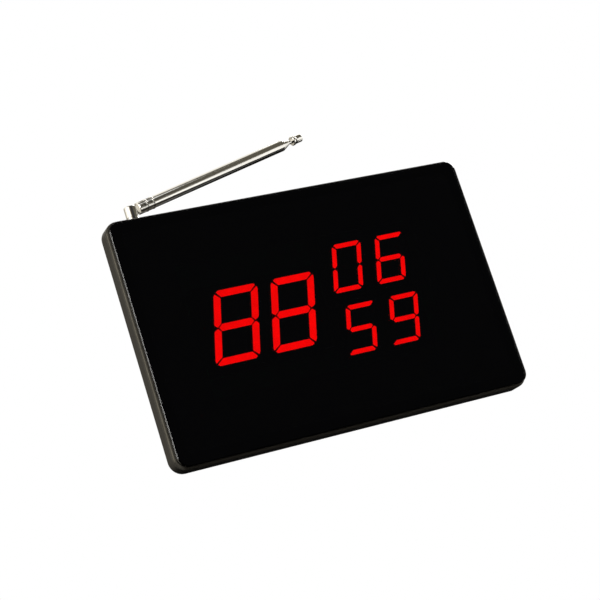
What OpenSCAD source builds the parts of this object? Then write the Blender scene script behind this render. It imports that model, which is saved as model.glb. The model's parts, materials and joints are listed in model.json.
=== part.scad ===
// Wall-hung display receiver ("pager" base) of a wireless call system.
// X runs to the right seen from the front, Y runs back to the wall, Z is up.
// The origin is the middle of the back face, which lies against the wall.

/* [Case] */
// Width of the case
case_w = 200; // [190:1:215]
// Height of the case
case_h = 128.5; // [124:0.5:136]
// Depth of the front case, without the panel
rim_d = 9; // [9:0.5:12]
// Depth of the raised housing behind the front case
housing_d = 15; // [15:0.5:20]
// Corner radius of the front outline
corner_r = 7; // [6:0.5:9]
// Rounding of the front case's front edge
edge_r = 1.5; // [1:0.1:2]
// Wall thickness of the mouldings
wall = 2; // [1.8:0.1:2.4]

/* [Front panel] */
// Thickness of the smoked acrylic panel
panel_t = 2.6; // [2:0.1:3]
// Thickness of the adhesive foam tape behind it
tape_t = 0.4; // [0.3:0.1:0.8]
// How far the panel's outline lies inside the case's outline
panel_inset = 1.2; // [1:0.1:2]
// Polished bevel round the panel's front edge
bevel = 0.4; // [0.3:0.1:0.6]

/* [Displays] */
// Height of the large digits
large_h = 37.6; // [36:0.1:38.1]
// Width of a large digit
large_w = 24.3; // [22:0.1:24.5]
// Distance between the two large digits
large_pitch = 31.5; // [30:0.5:32]
// Height of the small digits
small_h = 25.5; // [24:0.1:25.8]
// Width of a small digit
small_w = 16.9; // [15:0.1:17]
// Distance between two small digits
small_pitch = 25.3; // [24:0.1:26]
// Sideways lean of the digits per unit of height
slant = 0.28; // [0.1:0.01:0.3]
// Gap between neighbouring segments
seg_gap = 0.5; // [0.3:0.1:0.8]

/* [Antenna] */
// Distance of the antenna's post from the case's left side
post_in = 17.4; // [16:0.2:30]
// Height of the tilt pin above the case
pin_h = 4.6; // [4.4:0.1:7]
// Swing of the antenna towards the wall as it is left
antenna_yaw = 8; // [0:1:9]
// Rise of the antenna above level as it is left
antenna_rise = 14.7; // [0:0.1:20]
// Outer diameter of the base tube
tube_od = 6.1; // [6:0.1:6.4]
// Distance from the tilt pin to the base tube's open end
tube_end = 102.4; // [90:0.1:104]

/* [Hidden] */

$fn = 64;
EPS = 0.01;
CUT = 1;

// Depth stations, from the front face back to the wall
front_y = -(panel_t + tape_t + rim_d + housing_d);
tape_y = front_y + panel_t;
case_y = tape_y + tape_t;
flange_y = case_y + rim_d;
front_wall = 1.6;
flange_t = 1.6;
inner_y = case_y + front_wall;
flange_front_y = flange_y - flange_t;
back_wall_y = -wall;

// Housing behind the front case
housing_w = case_w - 24;
housing_h = case_h - 24.5;
housing_r = 6;
rim_wall = 2.2;
fit_gap = 0.2;

// Display modules: middle of each pair of digits, and where they sit
large_x = -32.65;
large_z = 0.05;
upper_x = 32.4;
upper_z = 17.4;
lower_x = 29.15;
lower_z = -15.5;
module_t = 10;
module_gap = 0.2;
module_y = tape_y + module_gap;
seg_depth = 1.2;
seg_recess = 0.15;
large_bar = 3.6;
small_bar = 2.4;
side_ratio = 1.07;
module_margin = 3;

// Main board, straight behind the display modules
board_y = module_y + module_t;
board_t = 1.6;
board_back = board_y + board_t;
board_w = 166;
board_h = 94;
board_x = 79;
board_z = 43;
board_spots = [for (sx = [-1, 1]) for (sz = [-1, 1]) [sx * board_x, sz * board_z]];

// Case screws through the flange
case_spots = [for (sx = [-1, 1]) for (sz = [-1, 1]) [sx * 92.6, sz * 50],
    [-40, -56.9], [40, -56.9], [-20, 56.9], [50, 56.9]];
boss_r = 3;
pilot_r = 1.1;
case_screw_r = 1.2;
case_head_r = 2.4;
case_head_t = 1.6;

// Controls and mountings on the back
button_names = ["menu", "up", "down", "set"];
button_x = 8;
button_z = 22;
button_pitch = 13;
button_r = 3.5;
button_gap = 0.15;
button_recess = 1.2;
button_travel = 0.5;
key_x = 70;
key_z = 14;
key_entry_r = 4;
key_slot_r = 2;
key_rise = 8;
key_depth = 5;
speaker_x = -42;
speaker_z = -20;
speaker_r = 20;
label_x = 30;
label_z = -22;
label_w = 52;
label_h = 20;
label_t = 0.3;

// Power inlet in the housing's lower wall
jack_x = 60;
jack_y = -7.3;
jack_bore_r = 3.15;
jack_nose_r = 4;
jack_pin_r = 1;
jack_root_r = 1.4;
jack_bore_depth = 10;
jack_root_l = 3;
jack_mouth_z = -housing_h / 2;

// Antenna: post, pin and telescoping tubes
post_x = -case_w / 2 + post_in;
post_y = case_y + 4.5;
top_z = case_h / 2;
pin_z = top_z + pin_h;
post_r = 3.1;
post_gap = 0.1;
shank_r = 1.8;
fork_slot = 2.3;
post_crown = 2.65;
post_chamfer = 0.5;
tongue_t = 2.1;
tongue_r = 2.6;
pin_r = 0.9;
run_fit = 0.06;
tube_wall = 0.3;
tube_step = 1;
lip_l = 1.35;
ferrule_start = 4.3;
crimp_rings = [9.4, 13.4];
collar_l = 5;
tube_start = 5.9;
plug_end = 13.5;
rod_r = 1.1;
section_start = 14.2;
knob_start = 109;
knob_end = 115.3;
knob_ring_r = 2.6;
knob_r = 2.25;

// ---------------------------------------------------------------- helpers

// Turns a shape drawn in XY with its thickness along +Z so that XY becomes
// the case's XZ plane and the thickness runs back from y.
module upright(y) {
    translate([0, y, 0]) rotate([90, 0, 0]) mirror([0, 0, 1]) children();
}

// Flat plate with round corners, t thick along +Z
module plate(w, h, r, t) {
    union() {
        translate([-w / 2 + r, -h / 2, 0]) cube([w - 2 * r, h, t]);
        translate([-w / 2, -h / 2 + r, 0]) cube([w, h - 2 * r, t]);
        for (sx = [-1, 1]) for (sz = [-1, 1])
            translate([sx * (w / 2 - r), sz * (h / 2 - r), 0]) cylinder(r = r, h = t);
    }
}

// Outer stretch of a slab's edge: r wide, t high, upper corner rounded by e
module round_profile(r, t, e) {
    square([r, t - e]);
    square([r - e, t]);
    translate([r - e, t - e]) circle(r = e);
}

// The same with a straight bevel
module bevel_profile(r, t, e) {
    polygon([[0, 0], [r, 0], [r, t - e], [r - e, t], [0, t]]);
}

// Slab whose edge follows the profile given as the child, upper face up
module edged_slab(w, h, r, t) {
    x = w / 2 - r;
    z = h / 2 - r;
    union() {
        translate([-x, -z, 0]) cube([2 * x, 2 * z, t]);
        for (k = [0, 1]) rotate([0, 0, 180 * k]) {
            translate([x, z, 0]) rotate([90, 0, 0]) linear_extrude(2 * z) children();
            translate([-x, z, 0]) rotate([90, 0, 90]) linear_extrude(2 * x) children();
            translate([x, z, 0]) rotate_extrude(angle = 90) children();
            translate([-x, z, 0]) rotate([0, 0, 90]) rotate_extrude(angle = 90) children();
        }
    }
}

// Cylinder along +Y from y0 to y1, at x, z
module rod_y(x, z, r, y0, y1) {
    translate([x, y0, z]) rotate([-90, 0, 0]) cylinder(r = r, h = y1 - y0);
}

// Box given by its two corners
module block(low, high) {
    translate(low) cube(high - low);
}

// Pan-head screw: head towards +Y, its seat at y, shank l long towards -Y
module screw_y(x, z, shank, head, head_t, y, l) {
    difference() {
        union() {
            rod_y(x, z, shank, y - l, y + EPS);
            rod_y(x, z, head, y, y + head_t);
        }
        for (a = [0, 90]) translate([x, y + head_t, z]) rotate([0, a, 0])
            translate([-head * 0.6, -head_t * 0.5, -0.25]) cube([head * 1.2, head_t, 0.5]);
    }
}

// Wire of radius r along a list of points
module wire(points, r) {
    for (k = [0 : len(points) - 2]) {
        d = points[k + 1] - points[k];
        l = norm(d);
        translate(points[k]) rotate([0, acos(d.z / l), atan2(d.y, d.x)])
            cylinder(r = r, h = l, $fn = 16);
    }
    for (k = [1 : len(points) - 2]) translate(points[k]) sphere(r = r * bend_swell, $fn = 16);
}

// ---------------------------------------------------------------- front

module front_panel() {
    color("black") upright(tape_y) mirror([0, 0, 1])
        edged_slab(case_w - 2 * panel_inset, case_h - 2 * panel_inset,
            corner_r - panel_inset, panel_t)
            bevel_profile(corner_r - panel_inset, panel_t, bevel);
}

tape_w = 5;
tape_in = panel_inset + 1;

module panel_tape() {
    w = case_w - 2 * tape_in;
    h = case_h - 2 * tape_in;
    r = corner_r - tape_in;
    color("dimgray") upright(tape_y) difference() {
        plate(w, h, r, tape_t);
        translate([0, 0, -CUT])
            plate(w - 2 * tape_w, h - 2 * tape_w, 2, tape_t + 2 * CUT);
    }
}

window_x = [-71, 63];
window_z = [-34, 36];
bush_r = 2.8;

module front_case() {
    in_w = case_w - 2 * rim_wall;
    in_h = case_h - 2 * rim_wall;
    color([0.16, 0.155, 0.15]) difference() {
        union() {
            difference() {
                upright(flange_y) mirror([0, 0, 1])
                    edged_slab(case_w, case_h, corner_r, rim_d)
                        round_profile(corner_r, rim_d, edge_r);
                upright(inner_y)
                    plate(in_w, in_h, corner_r - rim_wall, rim_d);
            }
            for (p = case_spots)
                rod_y(p.x, p.y, boss_r, inner_y - EPS, flange_front_y);
            for (p = board_spots)
                rod_y(p.x, p.y, boss_r, inner_y - EPS, board_y);
        }
        block([window_x[0], case_y - CUT, window_z[0]],
            [window_x[1], inner_y + CUT, window_z[1]]);
        for (p = case_spots)
            rod_y(p.x, p.y, pilot_r, inner_y + 0.4, flange_y);
        for (p = board_spots)
            rod_y(p.x, p.y, pilot_r, inner_y + 0.4, board_y + CUT);
        translate([post_x, post_y, top_z - rim_wall - CUT])
            cylinder(r = bush_r, h = rim_wall + 2 * CUT);
    }
}

// ---------------------------------------------------------------- back

// Keyhole cut: round entry below, narrow slot above
module keyhole(x, y0, y1) {
    rod_y(x, key_z, key_entry_r, y0, y1);
    rod_y(x, key_z + key_rise, key_slot_r, y0, y1);
    block([x - key_slot_r, y0, key_z], [x + key_slot_r, y1, key_z + key_rise]);
}

vent_count = 9;
vent_w = 1.6;
vent_h = 14;
vent_pitch = 5;
vent_z = 38;
grille_rings = [[0, 1], [4, 6], [8, 12], [12, 18]];
grille_hole_r = 0.9;
seat_w = 11;

module rear_cover() {
    in_w = housing_w - 2 * wall;
    in_h = housing_h - 2 * wall;
    key_w = 2 * key_entry_r + 4;
    button_mid = button_x + 1.5 * button_pitch;
    color([0.14, 0.14, 0.14]) difference() {
        union() {
            difference() {
                union() {
                    upright(flange_front_y)
                        plate(case_w - 2 * (rim_wall + fit_gap), case_h - 2 * (rim_wall + fit_gap),
                            corner_r - rim_wall - fit_gap, flange_t);
                    upright(flange_front_y)
                        edged_slab(housing_w, housing_h, housing_r, housing_d + flange_t)
                            round_profile(housing_r, housing_d + flange_t, edge_r);
                }
                upright(flange_front_y - CUT)
                    plate(in_w, in_h, housing_r - wall, housing_d + flange_t - wall + CUT);
            }
            // Closed pockets behind the keyholes keep the screw heads off the board
            for (sx = [-1, 1])
                block([sx * key_x - key_w / 2, -key_depth - wall, key_z - key_entry_r - 2],
                    [sx * key_x + key_w / 2, back_wall_y + EPS, key_z + key_rise + key_slot_r + 3]);
            // Thicker land under the button recess
            block([button_mid - 27, -button_recess - wall, button_z - 7],
                [button_mid + 27, back_wall_y + EPS, button_z + 7]);
            // Collar that holds the speaker
            rod_y(speaker_x, speaker_z, speaker_r + 2, -6, back_wall_y + EPS);
        }
        for (sx = [-1, 1]) {
            keyhole(sx * key_x, -wall - EPS, CUT);
            block([sx * key_x - key_entry_r, -key_depth, key_z - key_entry_r],
                [sx * key_x + key_entry_r, -wall + EPS, key_z + key_rise + key_slot_r + 1.5]);
        }
        // Button recess with its four holes
        translate([button_mid, 0, button_z]) upright(-button_recess)
            plate(52, seat_w, seat_w / 2 - EPS, button_recess + CUT);
        for (k = [0 : len(button_names) - 1])
            rod_y(button_x + k * button_pitch, button_z, button_r + button_gap, -6, CUT);
        // Speaker pocket and grille
        rod_y(speaker_x, speaker_z, speaker_r + 0.1, -7, back_wall_y);
        for (ring = grille_rings) for (k = [0 : ring[1] - 1])
            rod_y(speaker_x + ring[0] * cos(k * 360 / ring[1]),
                speaker_z + ring[0] * sin(k * 360 / ring[1]), grille_hole_r, -3, CUT);
        // Vents
        for (k = [0 : vent_count - 1])
            block([(k - (vent_count - 1) / 2) * vent_pitch - vent_w / 2, -3, vent_z - vent_h / 2],
                [(k - (vent_count - 1) / 2) * vent_pitch + vent_w / 2, CUT, vent_z + vent_h / 2]);
        // Label recess
        block([label_x - label_w / 2, -label_t - 0.1, label_z - label_h / 2],
            [label_x + label_w / 2, CUT, label_z + label_h / 2]);
        // Case screws
        for (p = case_spots)
            rod_y(p.x, p.y, case_screw_r + 0.2, flange_front_y - CUT, flange_y + CUT);
        // Inlet
        translate([jack_x, jack_y, jack_mouth_z - CUT])
            cylinder(r = jack_nose_r + 0.15, h = wall + 2 * CUT);
    }
}

module case_screws() {
    color("dimgray") for (p = case_spots)
        screw_y(p.x, p.y, pilot_r - 0.05, case_head_r, case_head_t, flange_y, 6.4);
}

module blank_label() {
    color("silver") block([label_x - label_w / 2 + 0.3, -label_t - 0.1, label_z - label_h / 2 + 0.3],
        [label_x + label_w / 2 - 0.3, -0.1, label_z + label_h / 2 - 0.3]);
}

// ---------------------------------------------------------------- displays

// Segments lie in the order a, b, c, d, e, f, g round the figure.
// Corner points of one segment of a digit w wide and h high, upright,
// with bars b high, side bars s wide and mitred ends.
function seg_outline(k, w, h, b, s) =
    let (x = w / 2, z = h / 2, m = b / 2, g = seg_gap / 2)
    k == "a" ? [[-x + g * 2 + s * 0.5, z], [x - g * 2 - s * 0.5, z], [x - s * 0.22 - g * 2, z - b * 0.26],
        [x - s - g, z - b], [-x + s + g, z - b], [-x + s * 0.22 + g * 2, z - b * 0.26]] :
    k == "g" ? [[-x + s * 0.55 + g * 2, 0], [-x + s + g, m], [x - s - g, m],
        [x - s * 0.55 - g * 2, 0], [x - s - g, -m], [-x + s + g, -m]] :
    k == "d" ? [for (p = seg_outline("a", w, h, b, s)) [p.x, -p.y]] :
    k == "b" ? [[x, z - b * 0.72 - g], [x - s * 0.15, z - b * 0.3 - g * 2], [x - s, z - b - g * 2],
        [x - s, m + g], [x - s * 0.5, g], [x, m * 0.75 + g]] :
    k == "c" ? [for (p = seg_outline("b", w, h, b, s)) [p.x, -p.y]] :
    k == "f" ? [for (p = seg_outline("b", w, h, b, s)) [-p.x, p.y]] :
    [for (p = seg_outline("b", w, h, b, s)) [-p.x, -p.y]];

// One segment as a leaning bar, t thick, its face at y
module segment(k, x, z, w, h, b, y, t) {
    points = [for (p = seg_outline(k, w, h, b, b * side_ratio)) [x + p.x + slant * p.y, z + p.y]];
    upright(y) linear_extrude(t) polygon(points);
}

// The named segments of a pair of digits, one string for each digit
module digit_pair(names, x, z, pitch, w, h, b, y, t) {
    for (d = [0, 1]) for (k = names[d])
        segment(k, x + (d - 0.5) * pitch, z, w, h, b, y, t);
}

all_segments = ["abcdefg", "abcdefg"];
upper_lit = ["abcdef", "acdefg"];
upper_dark = ["g", "b"];
lower_lit = ["acdfg", "abcdfg"];
lower_dark = ["be", "e"];

module large_digits(names, y, t) {
    digit_pair(names, large_x, large_z, large_pitch, large_w, large_h, large_bar, y, t);
}

module upper_digits(names, y, t) {
    digit_pair(names, upper_x, upper_z, small_pitch, small_w, small_h, small_bar, y, t);
}

module lower_digits(names, y, t) {
    digit_pair(names, lower_x, lower_z, small_pitch, small_w, small_h, small_bar, y, t);
}

seg_y = module_y + seg_recess;

// Moulded body of a pair of digits, with a well for each segment
module display_body(x, z, w, h) {
    color([0.08, 0.08, 0.08]) difference() {
        block([x - w / 2, module_y, z - h / 2], [x + w / 2, board_y, z + h / 2]);
        children();
    }
}

large_body_w = large_pitch + large_w + slant * large_h + module_margin * 0.4;
large_body_h = large_h + 2 * module_margin;
small_body_w = small_pitch + small_w + slant * small_h + module_margin * 0.3;
small_body_h = small_h + 2 * module_margin;

module display_large_body() {
    display_body(large_x, large_z, large_body_w, large_body_h)
        large_digits(all_segments, module_y - CUT, seg_depth + seg_recess + CUT);
}

module display_upper_body() {
    display_body(upper_x, upper_z, small_body_w, small_body_h)
        upper_digits(all_segments, module_y - CUT, seg_depth + seg_recess + CUT);
}

module display_lower_body() {
    display_body(lower_x, lower_z, small_body_w, small_body_h)
        lower_digits(all_segments, module_y - CUT, seg_depth + seg_recess + CUT);
}

module segments_large_lit() {
    color("red") large_digits(all_segments, seg_y, seg_depth);
}

module segments_upper_lit() {
    color("red") upper_digits(upper_lit, seg_y, seg_depth);
}

module segments_lower_lit() {
    color("red") lower_digits(lower_lit, seg_y, seg_depth);
}

module segments_unlit() {
    color([0.2, 0.05, 0.05]) {
        upper_digits(upper_dark, seg_y, seg_depth);
        lower_digits(lower_dark, seg_y, seg_depth);
    }
}

wire_r = 0.5;
bend_swell = 1.1;
display_pin_r = 0.25;
pin_rows = 5;
pin_space = 2.54;

// Solder pins in two rows through the board behind each module
module display_pins() {
    color("silver")
        for (m = [[large_x, large_z, large_body_h], [upper_x, upper_z, small_body_h],
                [lower_x, lower_z, small_body_h]])
            for (s = [-1, 1]) for (k = [0 : pin_rows - 1])
                rod_y(m.x + (k - 2) * pin_space * 2, m.y + s * (m.z / 2 - 2.5),
                    display_pin_r, board_y, board_back + 1.2);
}

// ---------------------------------------------------------------- electronics

module main_board() {
    color("darkgreen") difference() {
        upright(board_y) plate(board_w, board_h, 1.5, board_t);
        for (p = board_spots)
            rod_y(p.x, p.y, 1.4, board_y - CUT, board_back + CUT);
        for (m = [[large_x, large_z, large_body_h], [upper_x, upper_z, small_body_h],
                [lower_x, lower_z, small_body_h]])
            for (s = [-1, 1]) for (k = [0 : pin_rows - 1])
                rod_y(m.x + (k - 2) * pin_space * 2, m.y + s * (m.z / 2 - 2.5),
                    display_pin_r, board_y - CUT, board_back + CUT);
    }
}

module board_screws() {
    color("silver") for (p = board_spots)
        screw_y(p.x, p.y, pilot_r - 0.05, 2.3, 1.6, board_back, 7);
}

// Chip with its leads along the two long sides, lying behind the board
module chip(x, z, w, h, t, leads, pitch) {
    block([x - w / 2, board_back + 0.1, z - h / 2], [x + w / 2, board_back + t, z + h / 2]);
    for (s = [-1, 1]) for (k = [0 : leads - 1])
        translate([x + (k - (leads - 1) / 2) * pitch - pitch / 5, board_back, z + s * (h / 2 + 0.6) - 0.7])
            cube([pitch / 2.5, 0.5, 1.4]);
}

module controller_chip() {
    color([0.1, 0.1, 0.1]) chip(5, -4, 12.8, 7.5, 2.4, 10, 1.27);
}

module driver_chips() {
    color([0.1, 0.1, 0.1]) for (x = [-12, 5, 22]) chip(x, -22, 10, 4, 1.7, 8, 1.27);
}

module memory_chip() {
    color([0.1, 0.1, 0.1]) chip(-16, -4, 4.9, 3.9, 1.7, 4, 1.27);
}

module voltage_regulator() {
    color([0.1, 0.1, 0.1]) {
        block([41, board_back, -34], [47.5, board_back + 1.7, -30.5]);
        block([42.7, board_back, -30.5], [45.8, board_back + 0.4, -28.8]);
        for (x = [41.6, 43.9, 46.2]) block([x, board_back, -35.6], [x + 0.7, board_back + 0.4, -34]);
    }
}

module timing_crystal() {
    color("silver") round_can(5, 6, 11, 4.6, 3.6);
}

// Low metal can with round ends, standing on the board
module round_can(x, z, w, d, t) {
    translate([x, 0, z]) upright(board_back) plate(w, d, d / 2 - EPS, t);
}

cap_spots = [[30, -38, 3.15, 7.5], [22, -38, 2.5, 6], [70, -12, 3.15, 7.5], [-70, 4, 2.5, 6],
    [-70, -8, 2.5, 6]];

module capacitors() {
    color([0.12, 0.14, 0.2]) for (c = cap_spots)
        rod_y(c[0], c[1], c[2], board_back, board_back + c[3]);
}

resistor_rows = [[-34, 8, 6], [-14, -34, 8], [-8, 14, 5], [18, 8.5, 4]];

module chip_resistors() {
    color([0.1, 0.1, 0.1]) for (row = resistor_rows) for (k = [0 : row[2] - 1])
        block([row[0] + k * 3, board_back, row[1] - 1],
            [row[0] + k * 3 + 1.25, board_back + 0.5, row[1] + 1]);
}

rx_x = -62;
rx_z = 38;

// Small radio board that stands flat on pads at the antenna's corner
module receiver_board() {
    color("green") {
        block([rx_x - 9, board_back + 1.2, rx_z - 7.5], [rx_x + 9, board_back + 2.2, rx_z + 7.5]);
        for (k = [-2 : 2]) block([rx_x + k * 3 - 0.4, board_back, rx_z - 7.3],
            [rx_x + k * 3 + 0.4, board_back + 1.2, rx_z - 6.3]);
    }
}

module receiver_can() {
    color("silver") translate([rx_x, 0, rx_z + 0.5]) upright(board_back + 2.2) plate(13, 10, 0.8, 2.6);
}

jack_top = -36;

module dc_jack_body() {
    color([0.07, 0.07, 0.07]) difference() {
        union() {
            block([jack_x - 4.6, board_back, jack_mouth_z + wall + 0.1],
                [jack_x + 4.6, -2.5, jack_top]);
            translate([jack_x, jack_y, jack_mouth_z]) cylinder(r = jack_nose_r, h = wall + 1);
        }
        translate([jack_x, jack_y, jack_mouth_z - CUT])
            cylinder(r = jack_bore_r, h = jack_bore_depth + CUT);
        translate([jack_x, jack_y, jack_mouth_z])
            cylinder(r = jack_root_r, h = jack_bore_depth + jack_root_l);
    }
}

// Round-nosed contact pin, held by its thicker root in the inlet's body
module dc_jack_pin() {
    color("silver") translate([jack_x, jack_y, jack_mouth_z + jack_pin_r]) {
        sphere(r = jack_pin_r);
        cylinder(r = jack_pin_r, h = jack_bore_depth - jack_pin_r + EPS);
        translate([0, 0, jack_bore_depth - jack_pin_r]) cylinder(r = jack_root_r, h = jack_root_l);
    }
}

module dc_jack_tabs() {
    color("silver") {
        block([jack_x - 1.5, board_back, jack_top + 0.1], [jack_x + 1.5, board_back + 6, jack_top + 0.6]);
        block([jack_x - 5.2, board_back, -44], [jack_x - 4.7, board_back + 4, -41]);
    }
}

// ---------------------------------------------------------------- speaker

module speaker_frame() {
    color([0.2, 0.2, 0.2]) difference() {
        union() {
            rod_y(speaker_x, speaker_z, speaker_r, -4.4, back_wall_y - 0.4);
            rod_y(speaker_x, speaker_z, 14, -6.2, -4.4 + EPS);
        }
        rod_y(speaker_x, speaker_z, speaker_r - 1.5, -3.6, CUT);
        rod_y(speaker_x, speaker_z, 8.2, -7, CUT);
    }
}

module speaker_cone() {
    color([0.3, 0.3, 0.25]) translate([speaker_x, 0, speaker_z]) rotate([-90, 0, 0])
        rotate_extrude() polygon([[0, -3.3], [6, -3.4], [8, -3.3], [17, -3.1], [18.2, -3.3],
            [18.2, -2.95], [17, -2.8], [8, -3.0], [6, -3.1], [3, -2.8], [0, -2.7]]);
}

module speaker_magnet() {
    color("silver") rod_y(speaker_x, speaker_z, 8, -8.6, -3.7);
}

module speaker_ring() {
    color([0.05, 0.05, 0.05]) difference() {
        rod_y(speaker_x, speaker_z, speaker_r, back_wall_y - 0.4, back_wall_y);
        rod_y(speaker_x, speaker_z, speaker_r - 2, back_wall_y - CUT, back_wall_y + CUT);
    }
}

speaker_wire_points = [[-30, -4.95, -9], [-29, -7.2, -7.5], [-27, -8.5, -2],
    [-26, board_back + 1.6, 2], [-26, board_back, 2]];

// Two wires, side by side, from the speaker's rim to the board
module speaker_wires() {
    color("red") for (dx = [0, 2.5]) translate([dx, 0, 0]) wire(speaker_wire_points, wire_r);
}

// ---------------------------------------------------------------- buttons

switch_y = board_back;
plunger_r = 1.6;
plunger_in = 1;
switch_top = board_back + 3.5;

module switch_bodies() {
    color([0.12, 0.12, 0.12]) for (k = [0 : len(button_names) - 1]) {
        x = button_x + k * button_pitch;
        difference() {
            block([x - 3, switch_y, button_z - 3], [x + 3, switch_top, button_z + 3]);
            rod_y(x, button_z, plunger_r + 0.3, switch_top - plunger_in - 2 * button_travel,
                switch_top + CUT);
        }
    }
}

// Key cap k: a round cap, a flange that stops it and a plunger to the switch
module button(k) {
    x = button_x + k * button_pitch;
    stop_y = -button_recess - wall;
    color([0.25, 0.25, 0.26]) {
        rod_y(x, button_z, button_r, stop_y - 0.4, -0.5);
        rod_y(x, button_z, button_r + 1, stop_y - 1.1, stop_y - 0.3);
        rod_y(x, button_z, plunger_r, switch_top - plunger_in, stop_y - 1);
    }
}

module button_menu() { button(0); }
module button_up() { button(1); }
module button_down() { button(2); }
module button_set() { button(3); }

// ---------------------------------------------------------------- antenna

module antenna_bush() {
    color("silver") translate([post_x, post_y, top_z - rim_wall]) difference() {
        union() {
            cylinder(r = bush_r, h = rim_wall);
            translate([0, 0, -0.6]) cylinder(r = bush_r, h = 0.6 + EPS);
        }
        translate([0, 0, -CUT]) cylinder(r = shank_r + run_fit, h = rim_wall + 2 * CUT);
    }
}

tag_z = top_z - rim_wall - 0.6;

module solder_tag() {
    color("gold") difference() {
        union() {
            translate([post_x, post_y, tag_z - 0.4]) cylinder(r = 2.7, h = 0.4);
            block([post_x, post_y - 1, tag_z - 0.4], [post_x + 7, post_y + 1, tag_z]);
        }
        translate([post_x, post_y, tag_z - CUT]) cylinder(r = shank_r + run_fit, h = 2 * CUT);
    }
}

antenna_wire_points = [[post_x + 6, post_y, tag_z - 0.95], [post_x + 8.5, post_y, 55],
    [post_x + 10, post_y, 48.6], [post_x + 12, -11, 48.6], [post_x + 13.5, -9.6, 46.5],
    [post_x + 14.1, board_back + 2.75, 44.5]];

module antenna_wire() {
    color("black") wire(antenna_wire_points, wire_r);
}

// Everything beyond the post is drawn with the post's axis as Z
module at_post() {
    translate([post_x, post_y, 0]) rotate([0, 0, antenna_yaw]) children();
}

// Everything on the arm is drawn with +X along the tubes and the pin at 0
module along_arm() {
    at_post() translate([0, 0, pin_z]) rotate([0, -antenna_rise, 0]) children();
}

post_foot = top_z + post_gap;
post_top = pin_z + post_crown;
washer_t = 0.4;

module swivel_post() {
    color("gainsboro") at_post() difference() {
        union() {
            translate([0, 0, post_foot]) cylinder(r = post_r, h = post_top - post_chamfer - post_foot);
            translate([0, 0, post_top - post_chamfer - EPS])
                cylinder(r1 = post_r, r2 = post_r - post_chamfer, h = post_chamfer + EPS);
            translate([0, 0, tag_z - 0.4]) cylinder(r = shank_r, h = post_foot - tag_z + 0.4 + EPS);
        }
        translate([-post_r - CUT, -fork_slot / 2, pin_z - tongue_r - 0.3])
            cube([2 * post_r + 2 * CUT, fork_slot, tongue_r + post_crown + CUT]);
        translate([0, 0, pin_z]) rotate([90, 0, 0]) cylinder(r = pin_r, h = 4 * post_r, center = true);
        translate([0, 0, tag_z - CUT]) cylinder(r = 0.8, h = 4 + CUT);
    }
}

module hinge_pin() {
    color("gainsboro") at_post() translate([0, 0, pin_z]) rotate([90, 0, 0]) {
        cylinder(r = pin_r, h = 2 * post_r - 0.6, center = true);
    }
}

module shank_washer() {
    color("gainsboro") at_post() translate([0, 0, tag_z - 0.4 - 0.1 - washer_t]) difference() {
        cylinder(r = 2.4, h = washer_t);
        translate([0, 0, -CUT]) cylinder(r = 0.9, h = 2 + CUT);
    }
}

module shank_screw() {
    z = tag_z - 0.5 - washer_t;
    color("silver") at_post() {
        translate([0, 0, z - 1.2]) cylinder(r = 1.9, h = 1.2);
        translate([0, 0, z - EPS]) cylinder(r = 0.75, h = 4);
    }
}

plug_r = tube_od / 2 - tube_wall;
ring_r = tube_od / 2 + 0.25;

// Forked foot of the arm: a flat tongue on the pin and a turned plug in the tube
module arm_plug() {
    color("gainsboro") along_arm() difference() {
        union() {
            rotate([90, 0, 0]) cylinder(r = tongue_r, h = tongue_t, center = true);
            translate([0, -tongue_t / 2, -2.4]) cube([ferrule_start + 0.2, tongue_t, 4.8]);
            rotate([0, 90, 0]) translate([0, 0, ferrule_start])
                cylinder(r = tube_od / 2, h = tube_start - ferrule_start);
            rotate([0, 90, 0]) translate([0, 0, tube_start - 0.1])
                cylinder(r = plug_r, h = plug_end - tube_start + 0.1);
        }
        rotate([90, 0, 0]) cylinder(r = pin_r + run_fit, h = 3 * tongue_t, center = true);
    }
}

// Tube with a rolled lip at its open end; the first tube also has crimped rings
module tube_body(start, end, r, ring_spots) {
    inner = r - tube_wall;
    next = r - tube_step / 2;
    rotate([0, 90, 0]) difference() {
        union() {
            translate([0, 0, start]) cylinder(r = r, h = end - lip_l - start);
            translate([0, 0, end - lip_l - EPS]) cylinder(r1 = r, r2 = next + 0.22, h = lip_l + EPS);
            for (s = ring_spots) translate([0, 0, s - 0.45]) cylinder(r = ring_r, h = 0.9);
        }
        translate([0, 0, start - CUT]) cylinder(r = inner, h = end - lip_l - start + CUT);
        translate([0, 0, end - lip_l - CUT]) cylinder(r = next + run_fit, h = lip_l + 2 * CUT);
    }
}

module base_tube() {
    color("gainsboro") along_arm() tube_body(tube_start, tube_end, tube_od / 2, crimp_rings);
}

function section_r(k) = tube_od / 2 - (k - 1) * tube_step / 2;
function section_from(k) = section_start + (k - 2) * 1.0;
function section_to(k) = tube_end + (k - 1) * lip_l;

// Section k of the telescope with its guide collar at the inner end
module section(k) {
    r = section_r(k);
    from = section_from(k);
    outer_bore = section_r(k - 1) - tube_wall;
    along_arm() {
        tube_body(from, section_to(k), r, []);
        rotate([0, 90, 0]) translate([0, 0, from]) difference() {
            cylinder(r = outer_bore - run_fit, h = collar_l);
            translate([0, 0, -CUT]) cylinder(r = r - tube_wall, h = collar_l + 2 * CUT);
        }
    }
}

module section_2() { color("gainsboro") section(2); }
module section_3() { color("gainsboro") section(3); }
module section_4() { color("gainsboro") section(4); }

rod_start = section_from(4) + 1;

module tip_rod() {
    color("gainsboro") along_arm() rotate([0, 90, 0]) {
        translate([0, 0, rod_start]) cylinder(r = rod_r, h = knob_start + 3 - rod_start);
        translate([0, 0, rod_start]) cylinder(r = section_r(4) - tube_wall - run_fit, h = collar_l);
    }
}

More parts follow.
